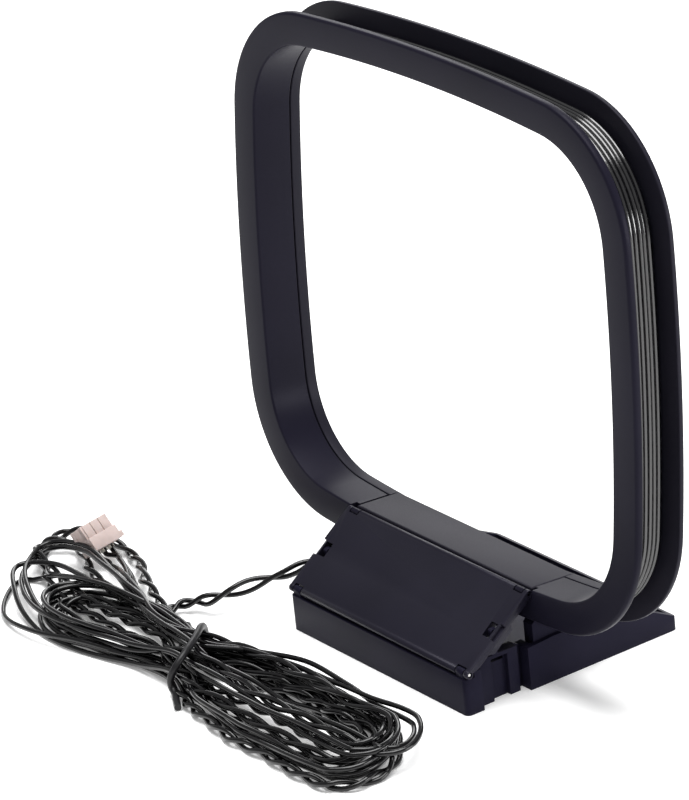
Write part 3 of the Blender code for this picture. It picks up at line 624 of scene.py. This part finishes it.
def left_end(depth, level, twist, gap):
    """The left loop of a lap that turns early."""
    outside = [
        (-42, -65.2), (-51, -67.6), (-60, -69.6), (-69, -70.6), (-77, -69.4), (-83.6, -65.6),
        (-85.6, -60), (-82.4, -54.6), (-75, -51.4), (-64, -50.3), (-53, -50.6), (-42, -52.2),
    ]
    inside = [
        (-42, -61.6), (-51, -62.8), (-59, -64.6), (-66, -65.6), (-71.6, -65.6), (-76, -64),
        (-77.6, -61), (-75.6, -57.8), (-69.5, -56), (-61, -55.2), (-52, -54.8), (-42, -54.8),
    ]
    return [(a[0] + (b[0] - a[0]) * depth, a[1] + (b[1] - a[1]) * depth, level, twist, gap)
            for a, b in zip(outside, inside)]


spread_loop = [
    (-42, -66.0, 2.0, PLAIN, 0.8), (-52, -69.0, 1.6, PLAIN, 1.0), (-62, -71.6, 1.5, PLAIN, 1.4),
    (-73, -73.6, 1.5, PLAIN, 1.6), (-84, -72.2, 1.6, PLAIN, 2.0), (-93, -68.2, 1.8, PLAIN, 2.2),
    (-100.6, -63.2, 2.0, PLAIN, 2.3), (-102.6, -58.8, 2.2, PLAIN, 2.2), (-97, -55.4, 3.4, PLAIN, 1.8),
    (-86, -55.6, 6.0, PLAIN, 1.2), (-75, -54.9, 7.2, PLAIN, 0.8), (-62, -54.0, 7.0, PLAIN, 0.7),
    (-50, -54.2, 6.6, PLAIN, 0.7),
]
high_loop = [
    (-42, -64.4, 4.2, PLAIN, 0.7), (-52, -66.6, 4.0, PLAIN, 0.8), (-62, -68.8, 3.8, PLAIN, 0.8),
    (-72, -69.6, 3.6, PLAIN, 0.7), (-82, -68.2, 3.8, PLAIN, 0.7), (-91, -65.0, 3.8, PLAIN, 0.7),
    (-99.4, -60.2, 3.8, PLAIN, 0.7), (-104.8, -54.4, 3.8, PLAIN, 0.7), (-106.6, -49.6, 4.2, PLAIN, 0.7),
    (-103.4, -46.4, 5.0, PLAIN, 0.7), (-96.2, -45.6, 6.2, PLAIN, 0.7), (-86.3, -46.7, 7.0, PLAIN, 0.7),
    (-75, -49.2, 7.0, PLAIN, 0.7), (-62, -52.6, 7.2, PLAIN, 0.7), (-48, -56.0, 7.0, PLAIN, 0.7),
]
behind_plug = [
    (-42, -60.6, 2.2, TIGHT, 0.7), (-52, -60.4, 2.2, TIGHT, 0.7), (-63, -60.6, 2.2, TIGHT, 0.7),
    (-74, -60.6, 1.8, TIGHT, 0.7), (-84, -60.0, 1.6, TIGHT, 0.7), (-92, -58.0, 1.5, TIGHT, 0.8),
    (-100.5, -54.2, 1.5, TIGHT, 0.8), (-107.6, -50.0, 1.6, TIGHT, 0.8), (-112.0, -45.4, 2.0, TIGHT, 0.8),
    (-113.0, -40.2, 2.6, TIGHT, 0.8), (-110.0, -36.4, 3.0, TIGHT, 0.8), (-104.6, -34.0, 2.4, TIGHT, 0.7),
    (-98.0, -33.0, 1.6, TIGHT, 0.7), (-91.6, -34.6, 1.6, TIGHT, 0.8), (-84.0, -37.6, 2.4, TIGHT, 0.9),
    (-76.4, -41.2, 3.2, LOOSE, 1.0), (-68.8, -44.4, 3.8, TIGHT, 0.8), (-60.2, -47.6, 4.2, TIGHT, 0.8),
    (-50, -51.2, 4.6, TIGHT, 0.8),
]
twisted_left = [
    (-42, -59.0, 4.6, TIGHT, 0.7), (-52, -58.6, 4.6, TIGHT, 0.7), (-63, -58.6, 4.4, TIGHT, 0.7),
    (-74, -58.4, 4.0, TIGHT, 0.7), (-84, -57.2, 3.2, TIGHT, 0.7), (-93, -55.2, 3.2, TIGHT, 0.8),
    (-101.5, -53.2, 3.4, TIGHT, 0.8), (-107.8, -50.6, 3.4, TIGHT, 0.8), (-110.2, -46.0, 3.2, TIGHT, 0.8),
    (-106.6, -41.8, 2.6, TIGHT, 0.8), (-99.4, -43.0, 2.0, TIGHT, 0.8), (-90.8, -47.4, 2.0, TIGHT, 0.8),
    (-83.6, -48.8, 2.2, TIGHT, 0.8), (-74, -50.0, 2.4, TIGHT, 0.8), (-62, -51.0, 2.4, TIGHT, 0.8),
    (-50, -52.0, 2.2, TIGHT, 0.8),
]
plug_wires = [
    (-43, -57.6, 7.0, 60, 0.7), (-54, -55.0, 6.9, 60, 0.75), (-66, -50.6, 6.2, 60, 0.9),
    (-76, -46.4, 5.0, 60, 1.1), (-84, -42.8, 3.6, 60, 1.2), (-90.0, -40.6, 2.6, 60, 1.3),
]
laps = [
    # y and z at the tie going right, and coming back; back, front, end, level, twist and gap of the right end;
    # the left end
    ((-52.0, 1.3), (-65.4, 1.4), (-46.4, -72.6, 43.6, 1.4, TIGHT, 0.8), left_end(0.0, 1.4, PLAIN, 0.8)),
    ((-54.6, 1.3), (-62.8, 1.3), (-49.6, -69.6, 39.6, 1.4, PLAIN, 0.8), left_end(0.5, 1.4, LOOSE, 0.7)),
    ((-57.2, 1.3), (-60.2, 1.3), (-52.6, -66.6, 34.4, 1.4, LOOSE, 0.9), behind_plug),
    ((-53.2, 3.7), (-64.2, 3.8), (-52.0, -62.6, 29.6, 3.2, TIGHT, 0.8), left_end(0.95, 3.6, LOOSE, 0.8)),
    ((-55.8, 3.7), (-61.6, 3.7), (-47.6, -71.4, 42.4, 3.8, PLAIN, 0.8), twisted_left),
    ((-58.6, 3.7), (-66.2, 3.6), (-50.8, -67.8, 37.0, 4.0, LOOSE, 0.8), spread_loop),
    ((-54.6, 6.1), (-63.0, 6.1), (-48.8, -64.6, 40.8, 6.0, PLAIN, 0.9), left_end(0.25, 5.2, PLAIN, 0.7)),
    ((-57.0, 6.2), (-60.6, 6.2), (-45.6, -59.6, 43.8, 5.8, PLAIN, 1.0), high_loop),
    ((-52.6, 6.0), (-58.8, 7.0), (-50.2, -62.0, 38.0, 6.6, LOOSE, 0.8), plug_wires),
]
print("laps:", len(laps))

# %% [markdown]
# The free stretch is loose and open: its wires stand well apart between crossings, and it has one sharp kink
# where it was once folded. At the other end the pair comes out of the hank and opens into separate wires that
# run side by side to the plug.

# %% The whole route
free_lead = [
    (-34.1, -15.1, 12.8, 14, 0.75), (-36.2, -16.4, 12.4, 14, 0.75), (-39.4, -20.4, 10.9, 15, 0.8),
    (-42.2, -24.1, 9.0, LOOSE, 0.9), (-45.0, -27.4, 7.9, LOOSE, 1.1), (-47.4, -31.0, 6.8, LOOSE, 1.2),
    (-50.0, -35.0, 5.4, LOOSE, 1.2), (-53.2, -38.6, 3.9, 16, 1.1), (-57.0, -40.2, 2.6, 12, 0.8),
    (-60.0, -43.0, 2.0, 9, 0.7), (-58.2, -46.8, 2.0, 9, 0.7), (-53.6, -48.6, 2.1, 10, 0.8),
    (-48.4, -49.4, 1.8, 12, 0.8), (-41.0, -50.0, 1.4, TIGHT, 0.7),
]
TIE_X = -31.0    # mm
TIED_GAP = 0.62  # mm; at the tie the two wires touch
route = list(free_lead)
for going, coming, (back, front, end, level, twist, gap), left_loop in laps:
    route.append((TIE_X, *going, twist, TIED_GAP))
    route += right_end(back, front, end, level, twist, gap, (going[0], coming[0]))
    route.append((TIE_X, *coming, left_loop[0][3], TIED_GAP))
    route += left_loop
print("route points:", len(route))

# %% [markdown]
# ## Two wires round the route
# The route is walked in small steps. At each step the wires stand on opposite sides of the middle, turned by an
# angle that grows with the distance walked and with how tight the twist is there. A little smooth noise keeps
# the laps from lying too evenly, and nothing may sink into the table.

# %% Strands
STRAND = 0.62 * MM  # radius of each wire of the pair
ABOVE_TABLE = 0.05 * MM
FADE = 40           # steps at each end over which the noise grows


def wandering(points, amount, size):
    """Shift points sideways by slow noise, keeping both ends in place."""
    made = []
    for i, point in enumerate(points):
        near_end = min(1.0, i / FADE, (len(points) - 1 - i) / FADE)
        place = Vector(point[:3]) / size
        shift = noise.noise_vector(place + Vector((i / 900.0, 3.1, 7.7)))
        amounts = (amount * near_end, amount * near_end, 0.35 * amount * near_end)
        moved = [value + way * much for value, way, much in zip(point, shift, amounts)]
        made.append(moved + list(point[3:]))
    return made


def twisted(points):
    """Two wires round a middle line; each point is x, y, z, length of a twist and half the gap, in mm."""
    turn = 0.0
    low = (STRAND + ABOVE_TABLE) / MM
    one, two, middle = [], [], []
    for i, point in enumerate(points):
        here = Vector(point[:3])
        before = Vector(points[max(0, i - 1)][:3])
        after = Vector(points[min(len(points) - 1, i + 1)][:3])
        turn += 2 * math.pi * (here - before).length / point[3]
        along = (after - before).normalized()
        side = along.cross(Vector((0, 0, 1))).normalized()
        over = side.cross(along)
        arm = point[4] * (math.cos(turn) * side + math.sin(turn) * over)
        for strand, spot in ((one, here + arm), (two, here - arm)):
            spot.z = max(spot.z, low)
            strand.append(spot * MM)
        middle.append(here * MM)
    return one, two, middle


noise.seed_set(9)  # noise_vector depends on this seed, and without it the clock chooses one
walked = wandering(smooth(route, 0.8), 1.1, 14.0)
strand_one, strand_two, middle = twisted(walked)
lead = wire_mesh("lead_pair", [strand_one, strand_two], STRAND, wire_gloss)
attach(lead, "base")
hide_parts("lead_cord", "lead_hank")

# %% [markdown]
# ## Where the wires meet the plug
# The two wires of the pair and a third one rise from the table to the plug's three ways, each a short wire of
# its own. They hold the plug up, tilted, with its mouth in the air.

# %% Wires at the plug
plug_axis = Vector((0.59, 0.16, -0.79)).normalized()
plug_across = Vector((-0.31, 0.95, -0.04))
plug_across = (plug_across - plug_across.dot(plug_axis) * plug_axis).normalized()
plug_out = plug_axis.cross(plug_across)
plug_middle = Vector((-95.6, -39.8, 8.5))
WAY_PITCH = 2.5  # mm


def in_plug(along, across, out):
    """A point of the plug, in millimetres: along from mouth to wires, across its ways, out of its face."""
    return plug_middle + along * plug_axis + across * plug_across + out * plug_out


def core(ends, way, name, replaced):
    """One wire from one way of the plug down to its two end points near the table."""
    start = in_plug(3.35, way * WAY_PITCH, -2.9)
    first = in_plug(5.0, way * WAY_PITCH, -2.9)
    path = [Vector(p) * MM for p in smooth([tuple(start), tuple(first), *ends], 0.6)]
    made = wire_mesh(name, [path], STRAND, wire_gloss)
    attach(made, "base")
    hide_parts(replaced)
    return made


def joining(end):
    """Two points that carry a wire on from an end of the pair."""
    return [tuple(end + Vector((-1.2, 0.4, 0.2))), tuple(end + Vector((0.6, -0.3, 0)))]


front_end, back_end = sorted((strand_one[-1] / MM, strand_two[-1] / MM), key=lambda p: p.y)
core_one = core(joining(front_end), -1, "wire_way_1", "lead_core_1")
core_two = core(joining(back_end), 0, "wire_way_2", "lead_core_2")
core_three = core([(-84.0, -40.6, 1.6), (-76.0, -44.2, 2.2)], 1, "wire_way_3", "lead_core_3")
print("wires at the plug: 3")

# %% [markdown]
# ## Tie
# The tie is a short piece of thicker coated wire. It is bent once round the waist of the hank, its ends crossed
# underneath, and one end sticks out over the table.

# %% Tie
tie_points = [
    (-17.6, -72.4, 0.95), (-20.6, -70.8, 0.95), (-23.4, -69.2, 1.2), (-25.0, -68.9, 2.4), (-24.9, -68.9, 4.6),
    (-24.2, -67.6, 7.2), (-24.8, -64.8, 8.9), (-27.2, -61.2, 9.3), (-30.6, -57.2, 9.2), (-34.2, -53.8, 8.6),
    (-37.0, -51.3, 7.0), (-38.8, -49.9, 4.6), (-40.2, -49.3, 2.6), (-42.2, -49.6, 2.4), (-43.6, -50.8, 3.8),
    (-43.0, -51.8, 5.6),
]
TIE_RADIUS = 0.85 * MM
tie_path = [Vector(p) * MM for p in smooth(tie_points, 0.5)]
tie = wire_mesh("hank_tie", [tie_path], TIE_RADIUS, tie_coat, sides=3)
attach(tie, "base")
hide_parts("cord_tie")
print("tie:", len(tie.data.polygons), "faces")

# %% [markdown]
# ## Plug
# The plug is a small nylon crimp housing for three contacts, as thin as its contacts allow. Its mouth half is
# stepped down and split into three panes by narrow grooves, where the latches of the contacts show; its wire
# half is a plain raised band, with a keying lug at one end. It is one block per feature, bevelled, because every
# edge of it is straight. The tail of each contact comes out behind as two small bright tabs beside its wire.

# %% Plug and contacts
def plug_bar(built, a0, a1, w0, w1, h0, h1):
    """A box in the plug's own directions, in millimetres; h = 0 is its upper face."""
    for vert in bmesh.ops.create_cube(built, size=1.0)["verts"]:
        a = a0 if vert.co.x < 0 else a1
        w = w0 if vert.co.y < 0 else w1
        h = h0 if vert.co.z < 0 else h1
        vert.co = in_plug(a, w, h) * MM


def plug_piece(name, boxes, material, round_by, replaced=None):
    """One piece of the plug from boxes, each with its edges softened."""
    built = bmesh.new()
    for box in boxes:
        plug_bar(built, *box)
    edges = list(built.edges)
    bmesh.ops.bevel(
        built, geom=edges, offset=round_by * MM, segments=2, profile=0.5, affect="EDGES", material=-1,
    )
    made = finished(built, name, material, crisp=50)
    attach(made, "base")
    if replaced:
        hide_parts(replaced)
    return made


WAYS = (-1, 0, 1)
panes = [(-3.4, 0.15, way * 2.95 - 1.32, way * 2.95 + 1.32, -1.2, -0.42) for way in WAYS]
walls = [(-3.4, 3.4, side - 0.35, side + 0.35, -4.6, -0.9) for side in (-4.5, -1.5, 1.5, 4.5)]
mouth_top = (-3.45, 0.1, -4.85, 4.85, -1.75, -0.72)
raised_band = (0.0, 3.45, -4.9, 4.9, -1.75, 0.0)
underside = (-3.45, 3.45, -4.9, 4.9, -4.7, -3.75)
lug = (1.9, 3.3, 4.7, 6.0, -1.6, -0.2)
blocks = panes + walls + [mouth_top, raised_band, underside, lug]
plug_body = plug_piece("plug_body", blocks, plug_nylon, 0.10, "plug_housing")
tails = [(3.0, 4.3, way * WAY_PITCH - 0.62, way * WAY_PITCH - 0.40, -3.5, -2.2) for way in WAYS]
tails += [(3.0, 4.3, way * WAY_PITCH + 0.40, way * WAY_PITCH + 0.62, -3.5, -2.2) for way in WAYS]
contact_tails = plug_piece("contact_tails", tails, tinned, 0.05)
contacts = [f"crimp_contact_{number}" for number in (1, 2, 3)]
for contact in contacts:
    repaint(contact, tinned)
print("plug: housing,", len(contacts), "contacts and their tails")

# %% [markdown]
# ## The wire inside the stand
# The wire inside the stand is fixed, so it stays a imported node and gets its finish.

# %% The wire inside the stand
repaint("lead_inner", wire_gloss)

# %% [markdown]
# ## Studio
# A plain pale floor and soft light: one large lamp overhead, a weaker one behind that lights the rims, and one
# low at the side. Dark plastic shows its shape only through what it mirrors, so the lamps are broad, and the
# surroundings are white.

# %% Floor and light
built = bmesh.new()
bmesh.ops.create_grid(built, x_segments=1, y_segments=1, size=4.0)
floor_finish, shader = finish("pale_floor", (0.93, 0.93, 0.93), 0.9)
shader.inputs["Specular IOR Level"].default_value = 0.1
shader.inputs["Emission Color"].default_value = (1.0, 1.0, 1.0, 1.0)
shader.inputs["Emission Strength"].default_value = 0.2
floor = finished(built, "floor", floor_finish)

world = bpy.data.worlds.new("studio")
bpy.context.scene.world = world
world.use_nodes = True
backdrop = world.node_tree.nodes["Background"]
backdrop.inputs["Color"].default_value = (1.0, 1.0, 1.0, 1.0)
backdrop.inputs["Strength"].default_value = 0.42


def lamp(name, place, aim, width, height, power):
    """A flat soft lamp that faces a point."""
    light = bpy.data.lights.new(name, "AREA")
    light.shape = "RECTANGLE"
    light.size = width
    light.size_y = height
    light.energy = power
    made = bpy.data.objects.new(name, light)
    facing = (Vector(aim) - Vector(place)).to_track_quat("-Z", "Y")
    made.matrix_world = Matrix.Translation(place) @ facing.to_matrix().to_4x4()
    bpy.context.scene.collection.objects.link(made)


lamp("overhead", (0.0, 0.1, 1.3), (0, 0, 0), 1.1, 1.1, 30)
lamp("rim", (-1.0, 0.9, 0.62), (0, 0, 0.06), 0.9, 0.5, 5)
lamp("side", (0.95, 0.62, 0.16), (0, 0, 0.06), 0.5, 0.25, 5)
bpy.context.scene.view_settings.view_transform = "Standard"
bpy.context.scene.view_settings.look = "None"
print("floor, world and 3 lamps")
